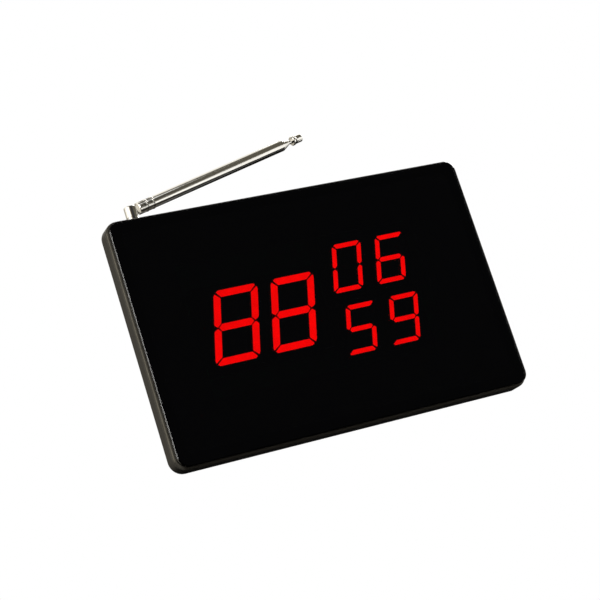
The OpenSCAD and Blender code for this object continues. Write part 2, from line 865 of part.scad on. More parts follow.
module tip_knob() {
    color("gainsboro") along_arm() rotate([0, 90, 0]) rotate_extrude()
        polygon([[rod_r, knob_start], [knob_ring_r, knob_start], [knob_ring_r, knob_start + 1.2],
            [1.7, knob_start + 1.6], [1.7, knob_start + 1.9], [knob_r, knob_start + 2.3],
            [knob_r, knob_end - 0.25], [knob_r - 0.25, knob_end], [0, knob_end], [0, knob_start + 3],
            [rod_r, knob_start + 3]]);
}

front_panel();
panel_tape();
front_case();
rear_cover();
case_screws();
display_large_body();
display_upper_body();
display_lower_body();
segments_large_lit();
segments_upper_lit();
segments_lower_lit();
segments_unlit();
display_pins();
main_board();
board_screws();
controller_chip();
driver_chips();
memory_chip();
voltage_regulator();
timing_crystal();
capacitors();
chip_resistors();
receiver_board();
receiver_can();
dc_jack_body();
dc_jack_pin();
dc_jack_tabs();
speaker_frame();
speaker_cone();
speaker_magnet();
speaker_ring();
speaker_wires();
switch_bodies();
button_menu();
button_up();
button_down();
button_set();
blank_label();
antenna_bush();
solder_tag();
antenna_wire();
swivel_post();
hinge_pin();
shank_washer();
shank_screw();
arm_plug();
base_tube();
section_2();
section_3();
section_4();
tip_rod();
tip_knob();
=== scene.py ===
import json
import math

import bmesh
import bpy
from mathutils import Matrix, Vector


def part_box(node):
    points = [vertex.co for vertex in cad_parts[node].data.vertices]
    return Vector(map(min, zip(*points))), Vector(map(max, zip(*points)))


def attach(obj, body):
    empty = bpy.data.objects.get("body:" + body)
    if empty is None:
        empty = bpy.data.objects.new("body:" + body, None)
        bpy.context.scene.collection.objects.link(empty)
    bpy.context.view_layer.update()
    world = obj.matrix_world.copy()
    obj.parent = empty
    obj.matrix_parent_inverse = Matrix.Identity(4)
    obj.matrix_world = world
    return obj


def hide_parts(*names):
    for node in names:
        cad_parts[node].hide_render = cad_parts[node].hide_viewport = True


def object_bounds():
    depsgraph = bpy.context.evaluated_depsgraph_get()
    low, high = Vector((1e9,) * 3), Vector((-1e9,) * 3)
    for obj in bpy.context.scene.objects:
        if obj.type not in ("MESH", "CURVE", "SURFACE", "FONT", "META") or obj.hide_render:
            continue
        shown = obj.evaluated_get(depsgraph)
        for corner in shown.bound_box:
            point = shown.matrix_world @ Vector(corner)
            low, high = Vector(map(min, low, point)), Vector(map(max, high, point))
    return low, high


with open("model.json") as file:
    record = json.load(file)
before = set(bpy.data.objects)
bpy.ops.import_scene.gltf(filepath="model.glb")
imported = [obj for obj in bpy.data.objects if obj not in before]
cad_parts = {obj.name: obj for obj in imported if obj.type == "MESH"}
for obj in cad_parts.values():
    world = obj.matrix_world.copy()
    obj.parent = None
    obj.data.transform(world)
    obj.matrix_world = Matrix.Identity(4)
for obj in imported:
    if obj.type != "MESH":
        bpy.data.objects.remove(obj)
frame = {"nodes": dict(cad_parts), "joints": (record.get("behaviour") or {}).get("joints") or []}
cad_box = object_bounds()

MM = 0.001

# ------------------------------------------------------------------ front case
# The front case is the deep black frame that everything else is screwed into.
# Injection-moulded ABS; the tool is finely etched, so it comes out satin, and
# handling polishes its rounded front edge.


def linear(code):
    """The linear colour of an sRGB hex code such as "1a1a1c"."""
    steps = [int(code[i:i + 2], 16) / 255 for i in (0, 2, 4)]
    return [c / 12.92 if c <= 0.04045 else ((c + 0.055) / 1.055) ** 2.4 for c in steps] + [1.0]


def add(tree, kind, inputs=None, **settings):
    """Adds a node; inputs maps a socket's name or number to a value or to the output that feeds it."""
    new = tree.nodes.new(kind)
    for name, value in settings.items():
        setattr(new, name, value)
    for key, value in (inputs or {}).items():
        if isinstance(value, bpy.types.NodeSocket):
            tree.links.new(value, new.inputs[key])
        else:
            new.inputs[key].default_value = value
    return new


def shader_of(name, colour, roughness, **sockets):
    """A new material, its tree, shader and Object coordinates; sockets are set on the shader."""
    material = bpy.data.materials.new(name)
    material.use_nodes = True
    tree = material.node_tree
    shader = tree.nodes["Principled BSDF"]
    shader.inputs["Base Color"].default_value = linear(colour)
    shader.inputs["Roughness"].default_value = roughness
    for key, value in sockets.items():
        shader.inputs[key.replace("_", " ")].default_value = value
    place = add(tree, "ShaderNodeTexCoord").outputs["Object"]
    return material, tree, shader, place


def noise(tree, place, size, detail=2.0, rough=0.5):
    """Noise whose features are about size metres across."""
    return add(tree, "ShaderNodeTexNoise", {"Vector": place, "Scale": 1 / size, "Detail": detail,
                                            "Roughness": rough}).outputs[0]


def remap(tree, value, low, high, to_low, to_high):
    """value, mapped from low..high to to_low..to_high and clamped at both ends."""
    return add(tree, "ShaderNodeMapRange", {0: value, 1: low, 2: high, 3: to_low, 4: to_high}).outputs[0]


def tint(tree, factor, colour_a, colour_b):
    """A mix of two hex colours."""
    return add(tree, "ShaderNodeMix", {0: factor, 6: linear(colour_a), 7: linear(colour_b)},
               data_type="RGBA").outputs[2]


def maths(tree, operation, a, b=0.0):
    """One sum inside a tree."""
    return add(tree, "ShaderNodeMath", {0: a, 1: b}, operation=operation).outputs[0]


def bump(tree, shader, height, depth):
    """Raises the surface by depth metres where height is 1."""
    up = add(tree, "ShaderNodeBump", {"Height": height, "Distance": depth, "Strength": 1.0})
    tree.links.new(up.outputs[0], shader.inputs["Normal"])


def finish(node, material):
    """Gives a CAD node its material."""
    for holder in frame["nodes"][node].material_slots:
        holder.material = material


case_low, case_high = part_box("front_case")
case_centre = (case_low + case_high) / 2
EDGE_BAND_DEPTH = 2 * MM             # how far back from the front edge the polish and the painted highlight reach
EDGE_BAND_FROM, EDGE_BAND_TO = 5 * MM, 2 * MM        # distance from an end where the polish and the painted highlight begin and are full

# Etched ABS: the etching scatters light, so the black looks grey where it is lit. At the front edge of both
# ends, where hands have rubbed it, it is less rough, and its colour is lightened to grey as a painted
# highlight.
satin_abs, tree, shader, place = shader_of("satin etched ABS", "141312", 0.42, Specular_IOR_Level=0.27,
                                           Specular_Tint=linear("fff3d8"))
etch = noise(tree, place, 0.35 * MM, 3.0, 0.6)
patchiness = noise(tree, place, 14 * MM, 4.0)
spot = add(tree, "ShaderNodeSeparateXYZ", {0: place}).outputs
near_front = remap(tree, spot[1], case_low.y, case_low.y + EDGE_BAND_DEPTH, 1, 0)
sideways = maths(tree, "ABSOLUTE", spot[0])
end_band = remap(tree, sideways, case_high.x - EDGE_BAND_FROM, case_high.x - EDGE_BAND_TO, 0.12, 1)
polish_and_painted_highlight = maths(tree, "MULTIPLY", near_front, maths(tree, "MULTIPLY", end_band, patchiness))
# Painted highlight: the front edge of both ends lightened from near black to grey, in uneven patches.
tree.links.new(tint(tree, polish_and_painted_highlight, "131211", "57554f"), shader.inputs["Base Color"])
tree.links.new(remap(tree, polish_and_painted_highlight, 0, 0.25, 0.44, 0.17), shader.inputs["Roughness"])
bump(tree, shader, etch, 0.012 * MM)
finish("front_case", satin_abs)

# ------------------------------------------------------------------ front panel
# A sheet of smoked acrylic, laser cut, with polished sides and bevel all round.
# It is stuck over the whole front and hides the figures until they light.

# Smoked acrylic: dark enough to look like black glass, yet the lit figures come
# through it at full sharpness. Polished all round, with a few specks of dust.
smoked_acrylic, tree, shader, place = shader_of(
    "smoked polished acrylic", "595a5e", 0.0, IOR=1.49, Transmission_Weight=1.0)
dust = remap(tree, noise(tree, place, 0.9 * MM, 1.0), 0.76, 0.80, 0.0, 0.12)
tree.links.new(dust, shader.inputs["Roughness"])
smoke = remap(tree, noise(tree, place, 60 * MM, 2.0), 0.3, 0.7, 0.0, 1.0)
tree.links.new(tint(tree, smoke, "57585c", "5b5c60"), shader.inputs["Base Color"])
finish("front_panel", smoked_acrylic)

# Closed-cell foam tape: dull, with open pores about a fifth of a millimetre wide.
foam_tape, tree, shader, place = shader_of("closed-cell foam tape", "0c0c0c", 0.95)
pores = add(tree, "ShaderNodeTexVoronoi", {"Vector": place, "Scale": 1 / (0.2 * MM)}).outputs["Distance"]
tree.links.new(tint(tree, pores, "060606", "161616"), shader.inputs["Base Color"])
bump(tree, shader, pores, 0.05 * MM)
finish("panel_tape", foam_tape)
finish("speaker_ring", foam_tape)

# ------------------------------------------------------------------ figures
# Three seven-segment display modules stand behind the panel: black moulded
# bodies with a well for each segment, filled with clear red epoxy over a chip.

# Matt black moulding: it swallows the light that strays between the segments.
display_black, tree, shader, place = shader_of("matt black display moulding", "050505", 0.8,
                                               Specular_IOR_Level=0.15)
bump(tree, shader, noise(tree, place, 0.25 * MM, 2.0), 0.01 * MM)
tree.links.new(remap(tree, noise(tree, place, 8 * MM), 0.3, 0.7, 0.74, 0.86), shader.inputs["Roughness"])
for name in ("large", "upper", "lower"):
    finish(f"display_{name}_body", display_black)

# Lit red epoxy: a saturated red glow, a little uneven in strength.
LIT_STRENGTH = 9.0
lit_epoxy, tree, shader, place = shader_of("lit red epoxy", "ff0000", 0.35, IOR=1.52)
shader.inputs["Emission Color"].default_value = linear("ff0000")
cloudy = noise(tree, place, 6 * MM, 2.0)
tree.links.new(remap(tree, cloudy, 0.3, 0.7, LIT_STRENGTH * 0.92, LIT_STRENGTH * 1.08),
               shader.inputs["Emission Strength"])

# The same epoxy with its chip off: a dark wine red that the panel hides.
unlit_epoxy, tree, shader, place = shader_of("unlit red epoxy", "2a0606", 0.35, IOR=1.52)
tree.links.new(tint(tree, noise(tree, place, 4 * MM), "240505", "300808"), shader.inputs["Base Color"])

CORNER_ROUND = 0.45 * MM


def new_piece(name, mesh, material, body, slot, *nodes):
    """Puts a finished mesh into the scene as a piece that rides on body and stands for the nodes."""
    piece = bpy.data.objects.new(name, mesh)
    bpy.context.scene.collection.objects.link(piece)
    mesh.materials.clear()
    mesh.materials.append(material)
    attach(piece, body)
    if nodes:
        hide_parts(*nodes)
    return piece


def smooth_by_angle(form, degrees):
    """Smooth shading, with an edge kept sharp where it turns by more than degrees."""
    for face in form.faces:
        face.smooth = True
    for edge in form.edges:
        edge.smooth = len(edge.link_faces) == 2 and edge.calc_face_angle(0) < math.radians(degrees)


def poured_segments(node):
    """The segments of a CAD node as poured epoxy, their corners rounded by the well."""
    form = bmesh.new()
    form.from_mesh(frame["nodes"][node].data)
    bmesh.ops.remove_doubles(form, verts=form.verts, dist=0.001 * MM)
    bmesh.ops.dissolve_limit(form, angle_limit=math.radians(1), verts=form.verts, edges=form.edges)
    upright = [e for e in form.edges if abs((e.verts[0].co - e.verts[1].co).normalized().y) > 0.99]
    bmesh.ops.bevel(form, geom=upright, offset=CORNER_ROUND, offset_type="OFFSET", segments=4,
                    profile=0.5, affect="EDGES", clamp_overlap=True)
    smooth_by_angle(form, 30)
    mesh = bpy.data.meshes.new(node)
    form.to_mesh(mesh)
    form.free()
    return mesh


for name in ("large", "upper", "lower"):
    new_piece(f"{name}_lit_bars", poured_segments(f"segments_{name}_lit"), lit_epoxy, "case",
              "lit_epoxy", f"segments_{name}_lit")
new_piece("unlit_bars", poured_segments("segments_unlit"), unlit_epoxy, "case", "unlit_epoxy",
          "segments_unlit")

# ------------------------------------------------------------------ circuit board
# One glass-epoxy board carries the displays in front and everything else behind,
# with a small radio board on it below the antenna. Parts are soldered on.

# Solder mask: a glossy green lacquer, paler where it lies over copper tracks.
solder_mask, tree, shader, place = shader_of("green solder mask", "0c4a22", 0.32, Coat_Weight=0.3)
flat = add(tree, "ShaderNodeMapping", {0: place, 3: (1.0, 0.0, 1.0)}).outputs[0]
tracks = add(tree, "ShaderNodeTexBrick", {"Vector": flat, "Scale": 1 / (9 * MM), "Mortar Size": 0.06},
             offset=0.37, squash=1.4, squash_frequency=3).outputs["Fac"]
tree.links.new(tint(tree, tracks, "0a3f1c", "14602e"), shader.inputs["Base Color"])
bump(tree, shader, tracks, 0.035 * MM)
finish("main_board", solder_mask)
finish("receiver_board", solder_mask)

# Tinned steel and solder: grey-white metal with a soft, uneven shine.
tinned, tree, shader, place = shader_of("tinned steel", "c9c8c2", 0.3, Metallic=1.0)
tree.links.new(remap(tree, noise(tree, place, 1.5 * MM, 4.0), 0.3, 0.7, 0.22, 0.42),
               shader.inputs["Roughness"])
for name in ("display_pins", "timing_crystal", "receiver_can", "dc_jack_pin", "dc_jack_tabs"):
    finish(name, tinned)

# Moulded chip epoxy: dull charcoal with a fine grain from its filler.
chip_epoxy, tree, shader, place = shader_of("moulded chip epoxy", "1c1c1d", 0.6)
bump(tree, shader, noise(tree, place, 0.15 * MM), 0.01 * MM)
tree.links.new(tint(tree, noise(tree, place, 2 * MM), "181819", "222223"), shader.inputs["Base Color"])
for name in ("controller_chip", "driver_chips", "memory_chip", "voltage_regulator", "chip_resistors"):
    finish(name, chip_epoxy)

# Shrunk capacitor sleeve: glossy dark blue film over an aluminium can.
shrunk_sleeve, tree, shader, place = shader_of("shrunk capacitor sleeve", "0d1430", 0.25)
bump(tree, shader, noise(tree, place, 1.2 * MM), 0.03 * MM)
tree.links.new(tint(tree, noise(tree, place, 3 * MM), "0b1129", "111a3c"), shader.inputs["Base Color"])
finish("capacitors", shrunk_sleeve)

# Moulded nylon of the inlet and the switches: black and slightly waxy.
black_nylon, tree, shader, place = shader_of("moulded black nylon", "0b0b0b", 0.45)
bump(tree, shader, noise(tree, place, 0.4 * MM, 3.0), 0.01 * MM)
tree.links.new(remap(tree, noise(tree, place, 3 * MM), 0.3, 0.7, 0.38, 0.52), shader.inputs["Roughness"])
finish("dc_jack_body", black_nylon)
finish("switch_bodies", black_nylon)

# PVC wire sleeve: soft shine, colour a little uneven along its length.
for name, dark, light in (("speaker_wires", "7a0808", "960c0c"), ("antenna_wire", "090909", "121212")):
    sleeve, tree, shader, place = shader_of(f"PVC sleeve of {name}", dark, 0.4)
    tree.links.new(tint(tree, noise(tree, place, 2 * MM), dark, light), shader.inputs["Base Color"])
    finish(name, sleeve)

# ------------------------------------------------------------------ screws
# Eight self-tapping screws hold the rear cover and four hold the board.
# Cold-headed steel, pan head with a cross recess, blacked outside, zinc inside.

# Black oxide: nearly black steel that shows a dull metal shine.
black_oxide, tree, shader, place = shader_of("black oxide steel", "1b1b1d", 0.4, Metallic=0.8)
tree.links.new(remap(tree, noise(tree, place, 0.8 * MM, 4.0), 0.3, 0.7, 0.3, 0.5),
               shader.inputs["Roughness"])

# Zinc plate: bluish white metal with faint turning marks.
zinc_plate, tree, shader, place = shader_of("zinc-plated steel", "b4b8bc", 0.34, Metallic=1.0)
tree.links.new(remap(tree, noise(tree, place, 0.5 * MM, 4.0), 0.3, 0.7, 0.26, 0.44),
               shader.inputs["Roughness"])


def new_tree(name, sizes):
    """A Geometry Nodes tree with a geometry input and the named sizes as inputs."""
    tree = bpy.data.node_groups.new(name, "GeometryNodeTree")
    tree.interface.new_socket("Geometry", in_out="INPUT", socket_type="NodeSocketGeometry")
    for size in sizes:
        tree.interface.new_socket(size, in_out="INPUT", socket_type="NodeSocketFloat")
    tree.interface.new_socket("Geometry", in_out="OUTPUT", socket_type="NodeSocketGeometry")
    return tree, add(tree, "NodeGroupInput").outputs


def close_tree(tree, geometry, material):
    """Ends a tree: real geometry with its material set."""
    solid = add(tree, "GeometryNodeRealizeInstances", {0: geometry}).outputs[0]
    coloured = add(tree, "GeometryNodeSetMaterial", {0: solid, "Material": material}).outputs[0]
    add(tree, "NodeGroupOutput", {0: coloured})


def grown(name, tree, sizes, host_mesh):
    """The plain mesh that a tree makes from host_mesh with the given sizes."""
    host = bpy.data.objects.new(name, host_mesh)
    bpy.context.scene.collection.objects.link(host)
    modifier = host.modifiers.new("grow", "NODES")
    modifier.node_group = tree
    for socket in tree.interface.items_tree:
        if socket.in_out == "INPUT" and socket.name in sizes:
            modifier[socket.identifier] = sizes[socket.name]
    graph = bpy.context.evaluated_depsgraph_get()
    mesh = bpy.data.meshes.new_from_object(host.evaluated_get(graph))
    bpy.data.objects.remove(host)
    mesh.name = name
    return mesh


def points_mesh(spots):
    """A mesh of loose points."""
    mesh = bpy.data.meshes.new("spots")
    mesh.from_pydata([tuple(s) for s in spots], [], [])
    return mesh


def vector(tree, x, y, z):
    """A vector from three numbers or outputs."""
    return add(tree, "ShaderNodeCombineXYZ", {0: x, 1: y, 2: z}).outputs[0]


def screw_tree(name, material):
    """Pan-head screws with a cross recess, one at each point, their heads towards +Y."""
    tree, size = new_tree(name, ["Head radius", "Head height", "Shank radius", "Shank length"])
    head_r, head_h, shank_r, shank_l = (size[k] for k in (
        "Head radius", "Head height", "Shank radius", "Shank length"))
    half_h = maths(tree, "MULTIPLY", head_h, 0.5)
    quarter_h = maths(tree, "MULTIPLY", head_h, 0.25)
    rim = add(tree, "GeometryNodeMeshCylinder", {
        "Vertices": 40, "Radius": head_r, "Depth": half_h}).outputs[0]
    rim = add(tree, "GeometryNodeTransform", {
        0: rim, "Translation": vector(tree, 0, 0, quarter_h)}).outputs[0]
    dome = add(tree, "GeometryNodeMeshUVSphere", {"Segments": 40, "Rings": 20, "Radius": 1.0}).outputs[0]
    dome = add(tree, "GeometryNodeTransform", {
        0: dome, "Translation": vector(tree, 0, 0, half_h),
        "Scale": vector(tree, head_r, head_r, half_h)}).outputs[0]
    head = add(tree, "GeometryNodeMeshBoolean", {"Mesh 2": rim}, operation="UNION", solver="EXACT")
    tree.links.new(dome, head.inputs["Mesh 2"])
    cuts = []
    for turn in (0.0, math.pi / 2):
        bar = add(tree, "GeometryNodeMeshCube", {"Size": vector(
            tree, maths(tree, "MULTIPLY", head_r, 1.15), maths(tree, "MULTIPLY", head_r, 0.24),
            maths(tree, "MULTIPLY", head_h, 1.1))}).outputs[0]
        cuts.append(add(tree, "GeometryNodeTransform", {
            0: bar, "Translation": vector(tree, 0, 0, head_h), "Rotation": (0.0, 0.0, turn)}).outputs[0])
    recess = add(tree, "GeometryNodeMeshBoolean", {"Mesh 1": head.outputs[0], "Mesh 2": cuts[0]},
                 operation="DIFFERENCE", solver="EXACT")
    tree.links.new(cuts[1], recess.inputs["Mesh 2"])
    shank = add(tree, "GeometryNodeMeshCylinder", {
        "Vertices": 24, "Radius": shank_r, "Depth": shank_l}).outputs[0]
    shank = add(tree, "GeometryNodeTransform", {
        0: shank, "Translation": vector(tree, 0, 0, maths(tree, "MULTIPLY", shank_l, -0.5))}).outputs[0]
    both = add(tree, "GeometryNodeJoinGeometry", {0: recess.outputs[0]})
    tree.links.new(shank, both.inputs[0])
    laid = add(tree, "GeometryNodeTransform", {
        0: both.outputs[0], "Rotation": (-math.pi / 2, 0.0, 0.0)}).outputs[0]
    spread = add(tree, "GeometryNodeInstanceOnPoints", {
        "Points": size["Geometry"], "Instance": laid}).outputs[0]
    close_tree(tree, spread, material)
    return tree


def loose_parts(node):
    """The centre, lowest and highest corner of each separate solid of a CAD node."""
    form = bmesh.new()
    form.from_mesh(frame["nodes"][node].data)
    bmesh.ops.remove_doubles(form, verts=form.verts, dist=0.001 * MM)
    left, parts = set(form.verts), []
    while left:
        stack, found = [left.pop()], []
        while stack:
            vert = stack.pop()
            found.append(vert.co.copy())
            for edge in vert.link_edges:
                other = edge.other_vert(vert)
                if other in left:
                    left.remove(other)
                    stack.append(other)
        low = Vector([min(c[i] for c in found) for i in range(3)])
        high = Vector([max(c[i] for c in found) for i in range(3)])
        parts.append(((low + high) / 2, low, high))
    form.free()
    return sorted(parts, key=lambda part: tuple(round(c, 5) for c in part[0]))


SCREW_HEAD_H = 1.6 * MM
SCREW_SHANK_R = 1.05 * MM


def make_screws(name, node, material, slot):
    """Screws in place of a CAD node's, which give where they stand, how wide and how long they are."""
    parts = loose_parts(node)
    low, high = parts[0][1], parts[0][2]
    sizes = {"Head radius": (high.x - low.x) / 2, "Head height": SCREW_HEAD_H,
             "Shank radius": SCREW_SHANK_R, "Shank length": high.y - low.y - SCREW_HEAD_H}
    seats = [(middle.x, high.y - SCREW_HEAD_H, middle.z) for middle, low, high in parts]
    mesh = grown(name, screw_tree(name, material), sizes, points_mesh(seats))
    for face in mesh.polygons:
        face.use_smooth = True
    mesh.set_sharp_from_angle(angle=math.radians(35))
    new_piece(name, mesh, material, "case", slot, node)


make_screws("board_pan_screws", "board_screws", zinc_plate, "zinc_steel")
make_screws("cover_pan_screws", "case_screws", black_oxide, "black_steel")

# ------------------------------------------------------------------ speaker
# A 40 mm film speaker beeps when a call comes in. Pressed steel frame, clear
# film cone, nickelled magnet cup; it sits in a collar behind the grille.

finish("speaker_frame", black_oxide)
finish("speaker_magnet", tinned)

# Polyester film: a warm, slightly see-through sheet with pressed rings.
cone_film, tree, shader, place = shader_of("pressed polyester film", "7b735f", 0.3, Coat_Weight=0.2)
speaker_low, speaker_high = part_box("speaker_cone")
speaker_mid = (speaker_low + speaker_high) / 2
centred = add(tree, "ShaderNodeMapping", {0: place, 1: tuple(-speaker_mid)}).outputs[0]
ripples = add(tree, "ShaderNodeTexWave", {"Vector": centred, "Scale": 1 / (7 * MM)}, wave_type="RINGS",
              rings_direction="Y").outputs["Fac"]
bump(tree, shader, ripples, 0.08 * MM)
tree.links.new(tint(tree, ripples, "6c6453", "877e68"), shader.inputs["Base Color"])
finish("speaker_cone", cone_film)

# ------------------------------------------------------------------ rear cover
# The rear cover closes the case and stands off the wall by its raised housing.
# Injection-moulded ABS with a coarse spark-eroded texture, eight screws.

# Spark-eroded ABS: a pebbled, glare-free black.
sparked_abs, tree, shader, place = shader_of("spark-eroded ABS", "161616", 0.55, Specular_IOR_Level=0.45)
pebbles = add(tree, "ShaderNodeTexVoronoi", {"Vector": place, "Scale": 1 / (0.7 * MM)},
              feature="SMOOTH_F1").outputs["Distance"]
handled = remap(tree, noise(tree, place, 22 * MM, 3.0), 0.35, 0.7, 0.0, 1.0)
tree.links.new(tint(tree, handled, "141414", "1c1b1b"), shader.inputs["Base Color"])
tree.links.new(remap(tree, handled, 0, 1, 0.6, 0.48), shader.inputs["Roughness"])
bump(tree, shader, pebbles, 0.12 * MM)
finish("rear_cover", sparked_abs)

# ------------------------------------------------------------------ keys
# Four keys set the clock and teach the receiver its call buttons. Moulded
# silicone caps, domed, each with a raised sign; they press the switches behind.

# Silicone rubber: soft grey with no gloss and a faint bloom of fine powder.
silicone, tree, shader, place = shader_of("moulded silicone rubber", "3c3d40", 0.68, Sheen_Weight=0.15)
powder = noise(tree, place, 1.5 * MM, 4.0)
tree.links.new(tint(tree, powder, "38393c", "434447"), shader.inputs["Base Color"])
bump(tree, shader, noise(tree, place, 0.3 * MM), 0.01 * MM)

SIGN_RISE = 0.28 * MM
CAP_ROUND = 0.35 * MM


def turned_ring(form, profile, steps, place_at):
    """The rings of vertices of a solid turned from profile, a list of (along, radius).

    place_at turns (along, across, across) into a place; a radius of 0 gives a single vertex.
    """
    rings = []
    for along, radius in profile:
        if radius < 1e-9:
            rings.append([form.verts.new(place_at(along, 0.0, 0.0))])
        else:
            rings.append([form.verts.new(place_at(along, radius * math.cos(a), radius * math.sin(a)))
                          for a in (2 * math.pi * k / steps for k in range(steps))])
    return rings


def skin(form, rings, closed=False):
    """Joins neighbouring rings with faces; closed also joins the last ring to the first."""
    pairs = list(zip(rings, rings[1:]))
    if closed:
        pairs.append((rings[-1], rings[0]))
    for a, b in pairs:
        steps = max(len(a), len(b))
        for k in range(steps):
            n = (k + 1) % steps
            corners = [a[k % len(a)], a[n % len(a)], b[n % len(b)], b[k % len(b)]]
            unique = list(dict.fromkeys(corners))
            if len(unique) > 2:
                form.faces.new(unique)


def arc(centre, radius, start, end, steps):
    """Points on a quarter or other stretch of a circle, angles in degrees, as (along, radius) pairs."""
    return [(centre[0] + radius * math.cos(math.radians(start + (end - start) * k / steps)),
             centre[1] + radius * math.sin(math.radians(start + (end - start) * k / steps)))
            for k in range(steps + 1)]


def mesh_of(name, form, angle=32):
    """A mesh with outward faces and smooth shading from a finished form, which is freed."""
    bmesh.ops.recalc_face_normals(form, faces=form.faces)
    smooth_by_angle(form, angle)
    mesh = bpy.data.meshes.new(name)
    form.to_mesh(mesh)
    form.free()
    return mesh


def key_signs():
    """The outlines raised on the caps, in units of the cap's radius: lines, up, down and a disc."""
    r, thin, base, steps = 0.42, 0.07, 0.28, 28
    bars = [[(-r, h - thin), (r, h - thin), (r, h + thin), (-r, h + thin)] for h in (-0.3, 0, 0.3)]
    up = [[(-r, -base), (r, -base), (0, r)]]
    down = [[(r, base), (-r, base), (0, -r)]]
    turns = [2 * math.pi * k / steps for k in range(steps)]
    disc = [[(r * math.cos(a), r * math.sin(a)) for a in turns]]
    return {"menu": bars, "up": up, "down": down, "set": disc}


def key_cap(name):
    """A domed key cap with its stop flange, plunger and raised sign, in place of the CAD one."""
    low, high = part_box(f"button_{name}")
    x, z, top = (low.x + high.x) / 2, (low.z + high.z) / 2, high.y
    flange_r = (high.x - low.x) / 2
    cap_r = flange_r - 1 * MM
    stop = top - 3.1 * MM
    plunger_r = 1.6 * MM
    profile = [(low.y, 0.0), (low.y, plunger_r), (stop - 0.7 * MM, plunger_r), (stop - 0.7 * MM, flange_r),
               (stop, flange_r), (stop, cap_r)]
    profile += arc((top - 0.25 * MM - CAP_ROUND, cap_r - CAP_ROUND), CAP_ROUND, 90, 12, 6)
    profile += [(top - 0.13 * MM, cap_r * 0.75), (top - 0.05 * MM, cap_r * 0.5),
                (top - 0.02 * MM, cap_r * 0.25), (top - 0.015 * MM, 0.0)]
    form = bmesh.new()
    skin(form, turned_ring(form, profile, 48, lambda s, u, v: (x + u, s, z + v)))
    for outline in key_signs()[name]:
        sunk, raised = ([form.verts.new((x - u * cap_r, y, z + v * cap_r)) for u, v in outline]
                        for y in (top - 0.4 * MM, top - 0.015 * MM + SIGN_RISE))
        skin(form, [sunk, raised])
        form.faces.new(raised)
        form.faces.new(list(reversed(sunk)))
    new_piece(f"key_cap_{name}", mesh_of(f"key_cap_{name}", form, 35), silicone, f"key_{name}",
              "key_rubber", f"button_{name}")


for name in ("menu", "up", "down", "set"):
    key_cap(name)

# ------------------------------------------------------------------ label
# The rating label is left blank: silver polyester film, self-adhesive, laid
# into a shallow recess of the rear cover.

# Brushed film: straight, fine brush lines along its length.
brushed_film, tree, shader, place = shader_of("brushed silver film", "a7a8aa", 0.38, Metallic=0.7)
drawn = add(tree, "ShaderNodeMapping", {0: place, 3: (0.02, 1.0, 1.0)}).outputs[0]
lines = noise(tree, drawn, 0.25 * MM, 3.0)
tree.links.new(tint(tree, lines, "989a9c", "b6b7b9"), shader.inputs["Base Color"])
tree.links.new(remap(tree, lines, 0.3, 0.7, 0.3, 0.46), shader.inputs["Roughness"])
finish("blank_label", brushed_film)

# ------------------------------------------------------------------ antenna foot
# The antenna stands on a slotted post that turns in a bush in the case's top
# wall; a screw with a washer and a solder tag holds it from inside.

# Nickel plate: a warmer, greyer shine than chrome.
nickel, tree, shader, place = shader_of("nickel-plated brass", "b9b1a0", 0.25, Metallic=1.0)
tree.links.new(remap(tree, noise(tree, place, 0.7 * MM, 3.0), 0.3, 0.7, 0.2, 0.34),
               shader.inputs["Roughness"])
finish("antenna_bush", nickel)
finish("solder_tag", nickel)
finish("shank_washer", zinc_plate)
finish("shank_screw", zinc_plate)

# Bright chrome plate: a cold mirror that carries hairlines along the tubes
# and a faint haze where fingers have pulled them out.
chrome, tree, shader, place = shader_of("bright chrome plate", "eeedea", 0.12, Metallic=1.0)
haze = noise(tree, place, 5 * MM, 4.0)
tree.links.new(remap(tree, haze, 0.35, 0.75, 0.09, 0.17), shader.inputs["Roughness"])
tree.links.new(tint(tree, noise(tree, place, 9 * MM, 2.0), "f1f0ed", "e6e4de"), shader.inputs["Base Color"])
bump(tree, shader, noise(tree, place, 0.5 * MM, 3.0), 0.0012 * MM)

tilt = next(j for j in frame["joints"] if j["name"] == "antenna_tilt")
pull = next(j for j in frame["joints"] if j["name"] == "extend_section_2")
pin_at = Vector(tilt["pos_m"])
across = Vector(tilt["axis"]).normalized()
outward = Vector(pull["axis"]).normalized()
above = outward.cross(across).normalized() * -1


def on_arm(s, u, v):
    """The place s along the arm from the tilt pin, u across it and v square to both."""
    return pin_at + outward * s + across * u + above * v


def reach(node):
    """How far a CAD node on the arm begins and ends from the pin, and its largest radius."""
    spots = [vert.co - pin_at for vert in frame["nodes"][node].data.vertices]
    far = [p.dot(outward) for p in spots]
    wide = [(p - outward * s).length for p, s in zip(spots, far)]
    return min(far), max(far), max(wide)


def cut_from(mesh, cutters):
    """mesh with the cutter meshes taken away, as a new mesh."""
    host = bpy.data.objects.new("host", mesh)
    bpy.context.scene.collection.objects.link(host)
    tools = []
    for cutter in cutters:
        tool = bpy.data.objects.new("tool", cutter)
        bpy.context.scene.collection.objects.link(tool)
        modifier = host.modifiers.new("cut", "BOOLEAN")
        modifier.object = tool
        modifier.operation = "DIFFERENCE"
        modifier.solver = "EXACT"
        tools.append(tool)
    graph = bpy.context.evaluated_depsgraph_get()
    result = bpy.data.meshes.new_from_object(host.evaluated_get(graph))
    for thing in tools + [host]:
        bpy.data.objects.remove(thing)
    form = bmesh.new()
    form.from_mesh(result)
    bmesh.ops.remove_doubles(form, verts=form.verts, dist=0.0005 * MM)
    smooth_by_angle(form, 32)
    form.to_mesh(result)
    form.free()
    return result


def box_mesh(place_at, low, high):
    """A box between two corners given in the terms of place_at."""
    form = bmesh.new()
    corners = bmesh.ops.create_cube(form, size=1.0)["verts"]
    for vert in corners:
        spot = [low[i] + (vert.co[i] + 0.5) * (high[i] - low[i]) for i in range(3)]
        vert.co = place_at(*spot)
    return mesh_of("cutter", form)


post_low, post_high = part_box("swivel_post")
post_r = (post_high.x - post_low.x) / 2
post_mid = Vector(((post_low.x + post_high.x) / 2, (post_low.y + post_high.y) / 2, 0))
heading = Vector((outward.x, outward.y, 0)).normalized()


